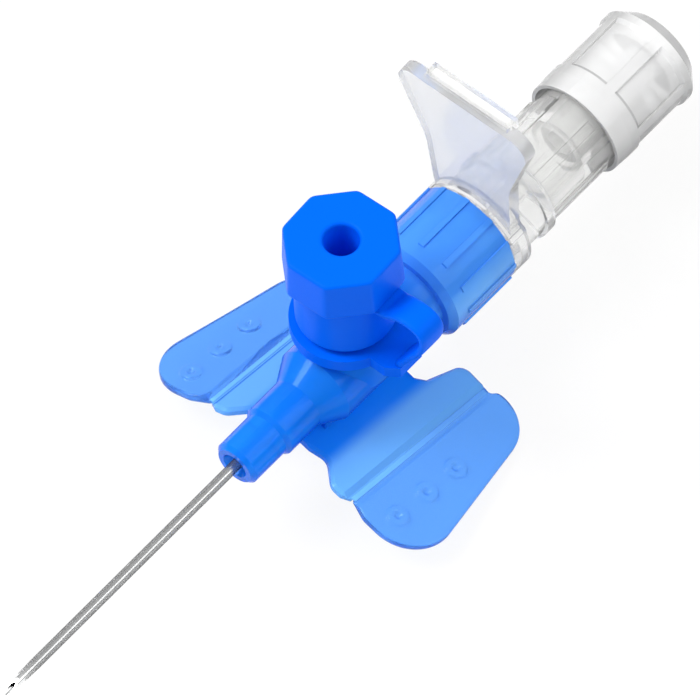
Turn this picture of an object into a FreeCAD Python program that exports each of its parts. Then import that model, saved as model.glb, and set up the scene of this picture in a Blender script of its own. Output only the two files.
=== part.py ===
import FreeCAD, Part
import math
import os
import re
import Sketcher

# Winged, ported intravenous cannula, 22 gauge, in millimetres.
# X runs back along the needle from the front face of the hub nose, Z is up
# through the injection port, and +Y is the left wing as the user sees it.

SIZES = [
    # catheter tube and needle
    ("CatheterLength", 25.0),
    ("CatheterRadius", 0.465),
    ("CatheterBore", 0.375),
    ("CatheterTipWall", 0.04),
    ("CatheterTipLength", 1.5),
    ("NeedleRadius", 0.35),
    ("NeedleBore", 0.23),
    ("NeedleReach", 2.4),
    ("NeedleSeat", 3.45),
    ("BevelLength", 1.9),
    # seat of the tube and its bush inside the nose
    ("MoldFit", 0.02),
    ("TubeFlareStart", 2.4),
    ("TubeFlareLength", 0.5),
    ("TubeFlareEnd", 4.9),
    ("BushWall", 0.12),
    ("BushBore", 0.38),
    ("SeatEnd", 6.6),
    ("BushFlangeLength", 0.4),
    # nose, neck and body of the catheter hub
    ("NoseRadius", 1.99),
    ("NoseLength", 3.8),
    ("NoseMouth", 1.15),
    ("NoseMouthDepth", 1.2),
    ("NoseRound", 0.35),
    ("NeckRadius", 2.3),
    ("NeckEnd", 7.5),
    ("BodyRadius", 3.45),
    ("BodyStart", 9.6),
    ("ChannelRadius", 1.65),
    # grip barrel with the female taper, measured forward from its rear face
    ("HubLength", 27.95),
    ("BarrelLength", 7.25),
    ("BarrelRadius", 4.65),
    ("BarrelChamfer", 0.55),
    ("TaperMouth", 2.15),
    ("TaperSlope", 0.03),
    ("TaperDepth", 9.35),
    ("TaperEase", 0.4),
    ("GripRibCount", 12),
    ("GripRibHeight", 0.14),
    ("GripRibWidth", 0.52),
    ("GripRibLength", 5.65),
    # injection port
    ("PortPlace", 13.6),
    ("TowerRadius", 3.2),
    ("TowerTop", 12.6),
    ("TowerFootRadius", 3.75),
    ("TowerFootTop", 4.1),
    ("PortHole", 1.2),
    ("SocketDepth", 3.9),
    ("BeadRadius", 3.42),
    ("BeadWidth", 0.36),
    ("ValveRadius", 1.63),
    ("ValveBore", 1.15),
    ("ValveLength", 8.0),
    # wings, measured in their own sloping plane from below the port
    ("WingDrop", 3.36),
    ("WingPitch", 10.8),
    ("WingDroop", 15.0),
    ("WingThickness", 0.65),
    ("WingBevel", 0.25),
    ("WingFront", 8.55),
    ("WingFlareFrontSpan", 9.3),
    ("WingRear", 8.62),
    ("WingFlareRearSpan", 8.7),
    ("WingFlareRound", 1.4),
    ("WingSpanFront", 15.41),
    ("WingSpanRear", 12.06),
    ("WingCornerFront", 3.9),
    ("WingCornerRear", 3.6),
    ("WingFoldFront", 7.95),
    ("WingFoldRear", 8.12),
    # inner panels of the wings, which are part of the hub
    ("RootShoulder", 7.3),
    ("RootShoulderSpan", 2.3),
    ("RootNotchFront", 6.9),
    ("RootNotchFrontSpan", 3.9),
    ("RootFront", 8.45),
    ("RootFrontSpan", 5.7),
    ("RootWaistSpan", 6.75),
    ("RootRear", 8.23),
    ("RootHeelSpan", 4.9),
    ("RootFlank", 4.8),
    ("RootFlankSpan", 3.98),
    ("RootNotchRear", 4.0),
    ("RootNotchRearSpan", 3.0),
    ("RootRound", 1.1),
    # fold lines and finger dimples
    ("HingeSpan", 7.6),
    ("HingeGap", 0.03),
    ("HingeBevel", 13.0),
    ("FoldChannel", 1.7),
    ("FoldFloor", 0.74),
    ("FoldDepth", 0.35),
    ("DimpleSpan", 10.92),
    ("DimpleFirst", 6.4),
    ("DimplePitch", 3.47),
    ("DimpleRadius", 1.02),
    ("DimpleInner", 0.45),
    ("DimpleHeight", 0.14),
    ("SaddleFront", 5.2),
    ("SaddleRear", 5.54),
    ("SaddleWidth", 3.8),
    ("SaddleHeight", 2.2),
    # collar and strap of the injection port's cap
    ("CollarRadius", 4.5),
    ("CollarBore", 3.3),
    ("CollarFit", 0.1),
    ("CollarHeight", 1.2),
    ("BeadFit", 0.12),
    ("LugReach", 6.55),
    ("LugWidth", 3.9),
    ("StrapWidth", 2.5),
    ("StrapThickness", 0.62),
    ("StrapReach", 9.25),
    ("StrapRise", 0.7),
    ("StrapRiseStart", 5.0),
    ("StrapArchStart", 6.5),
    ("StrapArchEnd", 8.25),
    ("StrapBendDrop", 0.55),
    ("StrapKnee", 8.9),
    ("StrapKneeDrop", 2.4),
    # cap
    ("SkirtRadius", 4.0),
    ("SkirtBore", 3.32),
    ("SkirtFit", 0.16),
    ("CapOverlap", 0.87),
    ("CapHeight", 4.01),
    ("CapRadius", 4.97),
    ("CapDraft", 2.4),
    ("CapTurn", 25.0),
    ("CapEdge", 0.28),
    ("CeilingFit", 0.3),
    ("StopperRadius", 1.95),
    ("StopperLength", 3.4),
    ("StopperFloor", 1.1),
    ("StopperHole", 1.42),
    ("StopperHoleRound", 0.35),
    # needle hub with its skirt, thumb plate and flashback chamber
    ("HubGap", 0.1),
    ("MaleFit", 0.03),
    ("MaleReach", 3.55),
    ("GlueFit", 0.01),
    ("SkirtWall", 0.7),
    ("SkirtLength", 1.85),
    ("SkirtHollow", 1.1),
    ("SkirtRibSwing", 60.0),
    ("NeckRing", 3.95),
    ("NeckLength", 2.5),
    ("DiscThickness", 0.9),
    ("DiscRadius", 4.25),
    ("PlateSetback", 0.65),
    ("PlateThickness", 1.15),
    ("PlateLean", 2.6),
    ("PlateTop", 17.6),
    ("PlateTopHalf", 7.1),
    ("PlateWaist", 9.3),
    ("PlateWaistHalf", 4.2),
    ("PlateFootHalf", 3.7),
    ("PlateCorner", 1.6),
    ("PlateSideRound", 9.0),
    ("SlotHalf", 4.2),
    ("SlotSetback", 0.48),
    ("SlotWidth", 0.5),
    ("SlotDepth", 0.55),
    ("LedgeHalf", 4.2),
    ("LedgeReach", 0.8),
    ("LedgeTall", 1.1),
    ("ChamberRadius", 3.7),
    ("ChamberLength", 9.7),
    ("ChamberRibRadius", 4.0),
    ("ChamberRibWidth", 0.85),
    ("ChamberRibCount", 6),
    ("ChamberRibTurn", -24.0),
    ("ChamberRibLength", 6.9),
    ("CavityRadius", 2.6),
    ("CavityWall", 0.9),
    ("CavityLength", 4.0),
    ("FlashHole", 0.9),
    ("LugRadius", 3.98),
    ("LugLength", 1.0),
    ("LugSetback", 0.1),
    ("LugHalfWidth", 1.6),
    # safety clip of spring strip
    ("ClipDepth", 4.55),
    ("ClipStrip", 0.2),
    ("ClipWidth", 1.1),
    ("ClipDiscRadius", 1.72),
    ("ClipHole", 0.44),
    ("ClipSpread", 1.5),
    ("ClipUpperGap", 1.3),
    ("ClipLowerGap", 2.5),
    ("ClipBend", 0.9),
    ("ClipRest", 0.42),
    # flashback plug and its filter
    ("PlugOverlap", 2.4),
    ("PlugLength", 10.0),
    ("PlugFrontRadius", 4.38),
    ("PlugCollarLength", 1.6),
    ("PlugCollarRadius", 4.47),
    ("PlugRadius", 4.55),
    ("PlugBevelLength", 1.15),
    ("PlugBevelDepth", 1.05),
    ("PlugBore", 4.08),
    ("PlugBoreGap", 2.0),
    ("PlugReach", 4.3),
    ("PlugTipHole", 1.2),
    ("PlugFit", 0.02),
    ("PlugTurn", -8.5),
    ("FluteCount", 6),
    ("FluteDepth", 0.22),
    ("FluteSweep", 48.0),
    ("FluteStart", 2.0),
    ("FluteRest", 1.4),
    ("FluteEase", 0.8),
    ("FilterRecess", 2.3),
    ("FilterDepth", 2.1),
    ("FilterThickness", 0.5),
    ("FilterFit", 0.03),
]

doc = FreeCAD.newDocument("iv_cannula")
sheet = doc.addObject("Spreadsheet::Sheet", "Sizes")
for row, (alias, value) in enumerate(SIZES, start=1):
    sheet.set("A%d" % row, alias)
    sheet.set("B%d" % row, str(value))
    sheet.setAlias("B%d" % row, alias)
doc.recompute()

ALIASES = {alias for alias, _ in SIZES}
XZ, XY, YZ = "XZ_Plane", "XY_Plane", "YZ_Plane"
TINY = 1e-6
ROOM = 0.5

# Stations along the needle and up the port, each measured from its neighbour
SKIRT_FRONT = "(HubLength + HubGap)"
SKIRT_REAR = "(%s + SkirtLength)" % SKIRT_FRONT
DISC_START = "(%s + NeckLength)" % SKIRT_REAR
DISC_END = "(%s + DiscThickness)" % DISC_START
CHAMBER_END = "(%s + ChamberLength)" % DISC_END
CAVITY_START = "(%s + CavityWall)" % DISC_END
CAVITY_END = "(%s + CavityLength)" % CAVITY_START
CHAMBER_RIB_END = "(%s + ChamberRibLength)" % DISC_END
NEEDLE_REAR = "(HubLength + NeedleSeat)"
MALE_TIP = "(HubLength - MaleReach)"
BARREL_START = "(HubLength - BarrelLength)"
GRIP_RIB_START = "(HubLength - GripRibLength)"
TAPER_START = "(HubLength - TaperDepth)"
CLIP_PLACE = "(HubLength - ClipDepth)"
PLUG_FRONT = "(%s - PlugOverlap)" % CHAMBER_END
PLUG_REAR = "(%s + PlugLength)" % PLUG_FRONT
PLUG_TIP = "(%s - PlugReach)" % CHAMBER_END
PLUG_BORE_END = "(%s + PlugBoreGap)" % CHAMBER_END
FLUTE_START = "(%s + FluteStart)" % PLUG_FRONT
FLUTE_END = "(%s - FluteRest)" % PLUG_REAR
FILTER_SEAT = "(%s - FilterDepth)" % PLUG_REAR
COLLAR_BOTTOM = "(TowerFootTop + CollarFit)"
COLLAR_TOP = "(%s + CollarHeight)" % COLLAR_BOTTOM
BEAD_BOTTOM = "(%s + BeadFit)" % COLLAR_TOP
BEAD_TOP = "(%s + BeadWidth)" % BEAD_BOTTOM
CAP_SKIRT_BOTTOM = "(%s + SkirtFit)" % BEAD_TOP
CAP_BOTTOM = "(TowerTop - CapOverlap)"
CAP_TOP = "(%s + CapHeight)" % CAP_BOTTOM
CAP_CEILING = "(TowerTop + CeilingFit)"
STOPPER_BOTTOM = "(TowerTop - StopperLength)"
STOPPER_HOLE_BOTTOM = "(%s + StopperFloor)" % STOPPER_BOTTOM


def bound(text):
    """Write each size named in an expression as the sheet's own cell."""
    return re.sub(r"[A-Za-z]\w*",
                  lambda word: "Sizes." + word.group() if word.group() in ALIASES else word.group(),
                  text)


def number(text):
    """Value of an expression, in millimetres or degrees."""
    return float(sheet.evalExpression(bound(text)))


def bind(item, **sizes):
    """Tie properties of an object to the sheet."""
    for name, text in sizes.items():
        item.setExpression(name, bound(text))


def place(item, where=("0", "0", "0"), turn="rotation(vector(0; 0; 1); 0)"):
    """Tie an object's place to the sheet: a point, then a turn about it."""
    text = "placement(vector(%s; %s; %s); %s)" % (where + (turn,))
    item.setExpression("Placement", bound(text))
    return item


def about(axis, angle):
    """Expression of a turn about a row axis."""
    ends = {"X": "1; 0; 0", "Y": "0; 1; 0", "Z": "0; 0; 1"}
    return "rotation(vector(%s); %s)" % (ends[axis], angle)


def new_body(name):
    """An empty body."""
    return doc.addObject("PartDesign::Body", name)


def base_feature(body, role):
    """A plane or axis of a body's own origin."""
    return next(item for item in body.Origin.OriginFeatures if item.Role == role)


def new_sketch(body, plane, lift="0"):
    """A sketch on one of the body's planes, lifted along the plane's normal."""
    sketch = body.newObject("Sketcher::SketchObject", body.Name + "_sketch")
    sketch.AttachmentSupport = [(base_feature(body, plane), "")]
    sketch.MapMode = "FlatFace"
    if lift != "0":
        sketch.setExpression(".AttachmentOffset.Base.z", bound(lift))
    return sketch


def pin_point(sketch, item, point, across, along):
    """Hold a point of a sketch at two expressions."""
    for kind, text, axis in (("DistanceX", across, -2), ("DistanceY", along, -1)):
        if text == "0":
            sketch.addConstraint(Sketcher.Constraint("PointOnObject", item, point, axis))
        else:
            index = sketch.addConstraint(
                Sketcher.Constraint(kind, -1, 1, item, point, number(text)))
            sketch.setExpression("Constraints[%d]" % index, bound(text))


def outline(body, plane, corners, lift="0"):
    """Closed outline of straight runs through corners given as expressions."""
    sketch = new_sketch(body, plane, lift)
    points = [FreeCAD.Vector(number(across), number(along), 0) for across, along in corners]
    count = len(points)
    for index in range(count):
        run = Part.LineSegment(points[index], points[(index + 1) % count])
        sketch.addGeometry(run, False)
    for index in range(count):
        sketch.addConstraint(Sketcher.Constraint("Coincident", index, 2, (index + 1) % count, 1))
    for index, (across, along) in enumerate(corners):
        pin_point(sketch, index, 1, across, along)
    return sketch


def rings(body, plane, centre, radii, lift="0"):
    """Circles about one centre: one gives a disc, two give a ring."""
    sketch = new_sketch(body, plane, lift)
    middle = FreeCAD.Vector(number(centre[0]), number(centre[1]), 0)
    for index, radius in enumerate(radii):
        circle = Part.Circle(middle, FreeCAD.Vector(0, 0, 1), number(radius))
        sketch.addGeometry(circle, False)
        pin_point(sketch, index, 3, *centre)
        size = sketch.addConstraint(Sketcher.Constraint("Radius", index, number(radius)))
        sketch.setExpression("Constraints[%d]" % size, bound(radius))
    return sketch


def turned(body, corners, axis="H_Axis", plane=XZ, sweep=None, cut=False):
    """Turn an outline about a sketch axis, as solid or as a cut."""
    kind = "PartDesign::Groove" if cut else "PartDesign::Revolution"
    sketch = outline(body, plane, corners)
    turn = body.newObject(kind, body.Name + "_turn")
    turn.Profile = sketch
    turn.ReferenceAxis = (sketch, [axis])
    turn.Angle = 360
    if sweep:
        turn.Midplane = True
        bind(turn, Angle=sweep)
    return turn


def pad(body, sketch, length, taper=None, back=False, middle=False):
    """Raise a sketch into a solid."""
    feature = body.newObject("PartDesign::Pad", body.Name + "_pad")
    feature.Profile = sketch
    bind(feature, Length=length)
    feature.Reversed = back
    if middle:
        feature.SideType = "Symmetric"
    if taper:
        bind(feature, TaperAngle=taper)
    return feature


def pocket(body, sketch, depth, back=False, middle=False):
    """Sink a sketch into the solid, and make sure that it cut something."""
    doc.recompute()
    before = body.Shape.Volume
    feature = body.newObject("PartDesign::Pocket", body.Name + "_pocket")
    feature.Profile = sketch
    bind(feature, Length=depth)
    feature.Reversed = back
    if middle:
        feature.SideType = "Symmetric"
    doc.recompute()
    if feature.Shape.Volume > before - TINY:
        raise ValueError("pocket cuts nothing in " + body.Name)
    return feature


def ring_of(body, feature, count, role="X_Axis"):
    """Repeat a feature evenly round an axis of the body."""
    pattern = body.newObject("PartDesign::PolarPattern", body.Name + "_ring")
    pattern.Originals = [feature]
    pattern.Axis = (base_feature(body, role), [""])
    pattern.Angle = 360
    bind(pattern, Occurrences=count)
    body.Tip = pattern
    return pattern


def rounded(body, radius, wanted, kind="PartDesign::Fillet"):
    """Round (or bevel) the edges of the body that pass a test."""
    doc.recompute()
    base = body.Tip
    names = ["Edge%d" % (index + 1) for index, edge in enumerate(base.Shape.Edges)
             if wanted(edge)]
    if not names:
        raise ValueError("no edge to round in " + body.Name)
    feature = body.newObject(kind, body.Name + "_round")
    feature.Base = (base, names)
    size = "Radius" if kind.endswith("Fillet") else "Size"
    bind(feature, **{size: radius})
    return feature


def upright_at(across, along):
    """Test for an edge that stands square to XY at a corner of an outline."""
    corner = FreeCAD.Vector(number(across), number(along), 0)

    def wanted(edge):
        ends = [vertex.Point for vertex in edge.Vertexes]
        flat = [FreeCAD.Vector(point.x, point.y, 0) for point in ends]
        return len(ends) == 2 and all((point - corner).Length < 1e-3 for point in flat)
    return wanted


def lengthwise_at(across, along):
    """Test for an edge that runs along X at a corner of a YZ outline."""
    corner = FreeCAD.Vector(0, number(across), number(along))

    def wanted(edge):
        ends = [vertex.Point for vertex in edge.Vertexes]
        flat = [FreeCAD.Vector(0, point.y, point.z) for point in ends]
        return len(ends) == 2 and all((point - corner).Length < 1e-3 for point in flat)
    return wanted


def circle_at(height, radius):
    """Test for a round edge about Z at a height."""
    level, size = number(height), number(radius)

    def wanted(edge):
        curve = edge.Curve
        return (isinstance(curve, Part.Circle) and abs(curve.Radius - size) < 1e-3
                and abs(curve.Center.z - level) < 1e-3)
    return wanted


def joined(label, pieces):
    """Fuse pieces of one moulding."""
    fuse = doc.addObject("Part::MultiFuse", label + "_joined")
    fuse.Shapes = pieces
    fuse.Refine = True
    return fuse


def hollowed(label, solid, tool):
    """Cut a tool from a solid."""
    cut = doc.addObject("Part::Cut", label + "_hollowed")
    cut.Base = solid
    cut.Tool = tool
    cut.Refine = True
    return cut


def wing_turn(side):
    """Slope of a wing: pitched back with the skin, then drooping outwards."""
    droop = "-WingDroop" if side > 0 else "WingDroop"
    return about("Y", "WingPitch") + " * " + about("X", droop)


def outward(side, text):
    """A span across the object, to the left or to the right."""
    return text if side > 0 else "-(" + text + ")"


parts = []


def sub_part(label, item):
    """Name a finished piece and keep it for writing out."""
    item.Label = label
    parts.append(item)
    return item


# Catheter tube: thin wall, tapered tip, flared inside the nose over its bush
FLARE_BORE = "BushBore + BushWall + MoldFit"
FLARE_RADIUS = FLARE_BORE + " + CatheterRadius - CatheterBore"
FLARE_FULL = "TubeFlareStart + TubeFlareLength"
tube = new_body("tube")
turned(tube, [
    ("-CatheterLength", "CatheterBore"),
    ("-CatheterLength", "CatheterBore + CatheterTipWall"),
    ("CatheterTipLength - CatheterLength", "CatheterRadius"),
    ("TubeFlareStart", "CatheterRadius"),
    (FLARE_FULL, FLARE_RADIUS),
    ("TubeFlareEnd", FLARE_RADIUS),
    ("TubeFlareEnd", FLARE_BORE),
    (FLARE_FULL, FLARE_BORE),
    ("TubeFlareStart", "CatheterBore")])
sub_part("catheter_tube", tube)

# Steel bush: a funnel that holds the flared tube in the hub and guides the needle
BUSH_OUT = "BushBore + BushWall"
SEAT_RADIUS = "ChannelRadius - MoldFit"
bush = new_body("bush")
turned(bush, [
    (FLARE_FULL, "BushBore"),
    (FLARE_FULL, BUSH_OUT),
    ("TubeFlareEnd + MoldFit", BUSH_OUT),
    ("SeatEnd", SEAT_RADIUS),
    ("SeatEnd + BushFlangeLength", SEAT_RADIUS),
    ("SeatEnd + BushFlangeLength", SEAT_RADIUS + " - BushWall"),
    ("SeatEnd + BushWall", SEAT_RADIUS + " - BushWall"),
    ("TubeFlareEnd + MoldFit + BushWall", "BushBore")])
sub_part("tube_bush", bush)

# Needle: hollow, ground to a long bevel with its point at the bottom
needle = new_body("needle")
turned(needle, [
    ("-CatheterLength - NeedleReach", "NeedleBore"),
    ("-CatheterLength - NeedleReach", "NeedleRadius"),
    (NEEDLE_REAR, "NeedleRadius"),
    (NEEDLE_REAR, "NeedleBore")])
TIP = "-CatheterLength - NeedleReach"
bevel = outline(needle, XZ, [
    (TIP, "-NeedleRadius"),
    (TIP + " + BevelLength", "NeedleRadius"),
    (TIP + " + BevelLength", "2 * NeedleRadius"),
    (TIP + " - NeedleRadius", "2 * NeedleRadius"),
    (TIP + " - NeedleRadius", "-NeedleRadius")])
pocket(needle, bevel, "4 * NeedleRadius", middle=True)
sub_part("needle", needle)


# Catheter hub: nose, body and grip barrel turned about the needle, with the port
# tower, the wing roots and the bores
hub = new_body("hub")
turned(hub, [
    ("0", "0"),
    ("0", "NoseRadius - NoseRound"),
    ("NoseRound", "NoseRadius"),
    ("NoseLength", "NoseRadius"),
    ("NoseLength + NoseRound", "NeckRadius"),
    ("NeckEnd", "NeckRadius"),
    ("BodyStart", "BodyRadius"),
    (BARREL_START, "BodyRadius"),
    (BARREL_START, "BarrelRadius - BarrelChamfer"),
    (BARREL_START + " + BarrelChamfer", "BarrelRadius"),
    ("HubLength", "BarrelRadius"),
    ("HubLength", "0")])
rib = outline(hub, XZ, [
    (GRIP_RIB_START, "BarrelRadius - GripRibHeight"),
    (GRIP_RIB_START + " + GripRibHeight", "BarrelRadius + GripRibHeight"),
    ("HubLength", "BarrelRadius + GripRibHeight"),
    ("HubLength", "BarrelRadius - GripRibHeight")])
ring_of(hub, pad(hub, rib, "GripRibWidth", middle=True), "GripRibCount")

tower = new_body("tower")
turned(tower, [
    ("0", "0"),
    ("TowerFootRadius", "0"),
    ("TowerFootRadius", "TowerFootTop"),
    ("TowerRadius", "TowerFootTop"),
    ("TowerRadius", BEAD_BOTTOM),
    ("BeadRadius", BEAD_BOTTOM + " + BeadWidth / 2"),
    ("TowerRadius", BEAD_TOP),
    ("TowerRadius", "TowerTop"),
    ("0", "TowerTop")], axis="V_Axis")
place(tower, ("PortPlace", "0", "0"))

saddle = new_body("saddle")
pad(saddle, outline(saddle, XY, [
    ("-SaddleFront", "-SaddleWidth / 2"),
    ("SaddleRear", "-SaddleWidth / 2"),
    ("SaddleRear", "SaddleWidth / 2"),
    ("-SaddleFront", "SaddleWidth / 2")], "-WingThickness"), "WingThickness + SaddleHeight")
place(saddle, ("PortPlace", "0", "-WingDrop"), about("Y", "WingPitch"))


def hinge_bevel(body, side, inner):
    """Bevel an edge at the fold line from below, so that the wing can also drop."""
    toward = "-" if inner else "+"
    edge = "HingeSpan %s HingeGap" % toward
    foot = "%s %s (WingThickness - FoldDepth) * tan(HingeBevel)" % (edge, toward)
    wedge = outline(body, YZ, [
        (outward(side, edge), "-FoldDepth"),
        (outward(side, foot), "-WingThickness"),
        (outward(side, foot), "-WingThickness - %s" % ROOM),
        (outward(side, "HingeSpan"), "-WingThickness - %s" % ROOM),
        (outward(side, "HingeSpan"), "-FoldDepth")])
    pocket(body, wedge, "4 * WingFront", middle=True)


def fold_channel(body, side):
    """Thinned strip along the fold, sunk in the upper face with sloping sides."""
    channel = outline(body, YZ, [
        (outward(side, "HingeSpan - FoldFloor / 2"), "-FoldDepth"),
        (outward(side, "HingeSpan + FoldFloor / 2"), "-FoldDepth"),
        (outward(side, "HingeSpan + FoldChannel / 2"), "0"),
        (outward(side, "HingeSpan + FoldChannel / 2"), "%s" % ROOM),
        (outward(side, "HingeSpan - FoldChannel / 2"), "%s" % ROOM),
        (outward(side, "HingeSpan - FoldChannel / 2"), "0")])
    pocket(body, channel, "4 * WingFront", middle=True)


def upper_edge(start):
    """Test for the outer edges of a wing's upper face, past a span, without the fold."""
    near, fold, gap = number(start), number("HingeSpan"), number("2 * HingeGap")

    def wanted(edge):
        ends = [vertex.Point for vertex in edge.Vertexes]
        if len(ends) != 2 or any(abs(point.z) > 1e-3 for point in ends):
            return False
        spans = [abs(point.y) for point in ends]
        return min(spans) > near - 1e-3 and any(abs(span - fold) > gap for span in spans)
    return wanted


def wing_root(side):
    """Inner panel of a wing, one moulding with the hub as far as the fold line."""
    body = new_body("root_%s" % ("left" if side > 0 else "right"))
    corners = [
        ("-RootShoulder", "0"),
        ("-RootShoulder", "RootShoulderSpan"),
        ("-RootNotchFront", "RootNotchFrontSpan"),
        ("-RootFront", "RootFrontSpan"),
        ("-RootFront", "RootWaistSpan"),
        ("-WingFoldFront", "HingeSpan - HingeGap"),
        ("WingFoldRear", "HingeSpan - HingeGap"),
        ("RootRear", "RootHeelSpan"),
        ("RootFlank", "RootFlankSpan"),
        ("RootNotchRear", "RootNotchRearSpan"),
        ("RootNotchRear", "0")]
    mirrored = [(along, outward(side, span)) for along, span in corners]
    pad(body, outline(body, XY, mirrored, "-WingThickness"), "WingThickness")
    for corner in (2, 3, 7):
        rounded(body, "RootRound", upright_at(*mirrored[corner]))
    rounded(body, "WingBevel", upper_edge("RootShoulderSpan"), kind="PartDesign::Chamfer")
    fold_channel(body, side)
    hinge_bevel(body, side, inner=True)
    place(body, ("PortPlace", "0", "-WingDrop"), wing_turn(side))
    return body


roots = [wing_root(side) for side in (1, -1)]

FLARE_SEAT = FLARE_RADIUS + " + MoldFit"
hub_bores = new_body("hub_bores")
turned(hub_bores, [
    ("-%s" % ROOM, "0"),
    ("-%s" % ROOM, "NoseMouth"),
    ("0", "NoseMouth"),
    ("NoseMouthDepth", "CatheterRadius + MoldFit"),
    ("TubeFlareStart - MoldFit", "CatheterRadius + MoldFit"),
    (FLARE_FULL + " - MoldFit", FLARE_SEAT),
    ("TubeFlareEnd", FLARE_SEAT),
    ("SeatEnd - MoldFit", "ChannelRadius"),
    (TAPER_START + " - TaperEase", "ChannelRadius"),
    (TAPER_START, "TaperMouth - TaperSlope * TaperDepth"),
    ("HubLength", "TaperMouth"),
    ("HubLength + %s" % ROOM, "TaperMouth"),
    ("HubLength + %s" % ROOM, "0")])
port_bore = new_body("port_bore")
turned(port_bore, [
    ("0", "0"),
    ("PortHole", "0"),
    ("PortHole", "TowerTop - SocketDepth"),
    ("StopperRadius + MoldFit", "TowerTop - SocketDepth"),
    ("StopperRadius + MoldFit", "TowerTop + %s" % ROOM),
    ("0", "TowerTop + %s" % ROOM)], axis="V_Axis")
place(port_bore, ("PortPlace", "0", "0"))
hub_solid = joined("hub", [hub, tower, saddle] + roots)
hub_voids = joined("hub_voids", [hub_bores, port_bore])
sub_part("catheter_hub", hollowed("hub", hub_solid, hub_voids))


def wing(side):
    """Outer panel of a wing, from the fold line to its rounded tip."""
    body = new_body("wing_%s" % ("left_panel" if side > 0 else "right_panel"))
    corners = [
        ("-WingFoldFront", "HingeSpan + HingeGap"),
        ("-WingFront", "WingFlareFrontSpan"),
        ("-WingFront", "WingSpanFront"),
        ("WingRear", "WingSpanRear"),
        ("WingRear", "WingFlareRearSpan"),
        ("WingFoldRear", "HingeSpan + HingeGap")]
    mirrored = [(along, outward(side, span)) for along, span in corners]
    pad(body, outline(body, XY, mirrored, "-WingThickness"), "WingThickness")
    rounded(body, "WingCornerFront", upright_at(*mirrored[2]))
    rounded(body, "WingCornerRear", upright_at(*mirrored[3]))
    for corner in (1, 4):
        rounded(body, "WingFlareRound", upright_at(*mirrored[corner]))
    rounded(body, "WingBevel", upper_edge("HingeSpan"), kind="PartDesign::Chamfer")
    fold_channel(body, side)
    hinge_bevel(body, side, inner=False)
    eye = pad(body, rings(body, XY, ("-DimpleFirst", outward(side, "DimpleSpan")),
                          ["DimpleRadius", "DimpleInner"]), "DimpleHeight")
    row_of_eyes = body.newObject("PartDesign::LinearPattern", body.Name + "_row")
    row_of_eyes.Originals = [eye]
    row_of_eyes.Direction = (base_feature(body, "X_Axis"), [""])
    row_of_eyes.Occurrences = 3
    bind(row_of_eyes, Length="2 * DimplePitch")
    body.Tip = row_of_eyes
    place(body, ("PortPlace", "0", "-WingDrop"), wing_turn(side))
    return body


sub_part("wing_left", wing(1))
sub_part("wing_right", wing(-1))

# Valve: a soft sleeve in the channel that covers the port hole from inside
valve = new_body("valve")
turned(valve, [
    ("PortPlace - ValveLength / 2", "ValveBore"),
    ("PortPlace - ValveLength / 2", "ValveRadius"),
    ("PortPlace + ValveLength / 2", "ValveRadius"),
    ("PortPlace + ValveLength / 2", "ValveBore")])
sub_part("port_valve", valve)

# Collar that turns on the tower, with a lug for the strap
collar = new_body("collar")
turned(collar, [
    ("CollarBore", COLLAR_BOTTOM),
    ("CollarRadius", COLLAR_BOTTOM),
    ("CollarRadius", COLLAR_TOP),
    ("CollarBore", COLLAR_TOP)], axis="V_Axis")
pad(collar, outline(collar, XY, [
    ("-LugWidth / 2", "-CollarBore"),
    ("LugWidth / 2", "-CollarBore"),
    ("LugWidth / 2", "-(CollarRadius + LugReach) / 2"),
    ("StrapWidth / 2", "-LugReach"),
    ("-StrapWidth / 2", "-LugReach"),
    ("-LugWidth / 2", "-(CollarRadius + LugReach) / 2")], COLLAR_BOTTOM), "CollarHeight")
turned(collar, [
    ("0", COLLAR_BOTTOM + " - %s" % ROOM),
    ("CollarBore", COLLAR_BOTTOM + " - %s" % ROOM),
    ("CollarBore", COLLAR_TOP + " + %s" % ROOM),
    ("0", COLLAR_TOP + " + %s" % ROOM)], axis="V_Axis", cut=True)
place(collar, ("PortPlace", "0", "0"))
sub_part("cap_collar", collar)

# Strap: a soft band from the collar's lug up and round under the cap
STRAP_TOP = "(%s - MoldFit)" % CAP_BOTTOM
STRAP_FOOT = "(%s + MoldFit)" % COLLAR_TOP
STRAP_ARCH = "(%s + StrapRise)" % STRAP_TOP
strap = new_body("strap")
strap_corners = [
    ("-SkirtRadius - MoldFit", STRAP_TOP),
    ("-StrapRiseStart", STRAP_TOP),
    ("-StrapArchStart", STRAP_ARCH),
    ("-StrapArchEnd", STRAP_ARCH),
    ("-StrapReach", STRAP_TOP + " - StrapBendDrop"),
    ("-StrapKnee", STRAP_TOP + " - StrapKneeDrop"),
    ("-LugReach", STRAP_FOOT),
    ("1.17 * StrapThickness - LugReach", STRAP_FOOT),
    ("1.08 * StrapThickness - StrapKnee", STRAP_TOP + " - StrapKneeDrop"),
    ("1.05 * StrapThickness - StrapReach", STRAP_TOP + " - StrapBendDrop - StrapThickness / 3"),
    ("StrapThickness / 2 - StrapArchEnd", STRAP_ARCH + " - StrapThickness"),
    ("-StrapArchStart - StrapThickness / 4", STRAP_ARCH + " - StrapThickness"),
    ("-StrapRiseStart - StrapThickness / 4", STRAP_TOP + " - StrapThickness"),
    ("-SkirtRadius - MoldFit", STRAP_TOP + " - StrapThickness")]
pad(strap, outline(strap, YZ, strap_corners), "StrapWidth", middle=True)
for corner in (1, 2, 3, 4):
    rounded(strap, "2 * StrapThickness", lengthwise_at(*strap_corners[corner]))
for corner in (9, 10, 11, 12):
    rounded(strap, "StrapThickness", lengthwise_at(*strap_corners[corner]))
place(strap, ("PortPlace", "0", "0"))
sub_part("cap_strap", strap)

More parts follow.
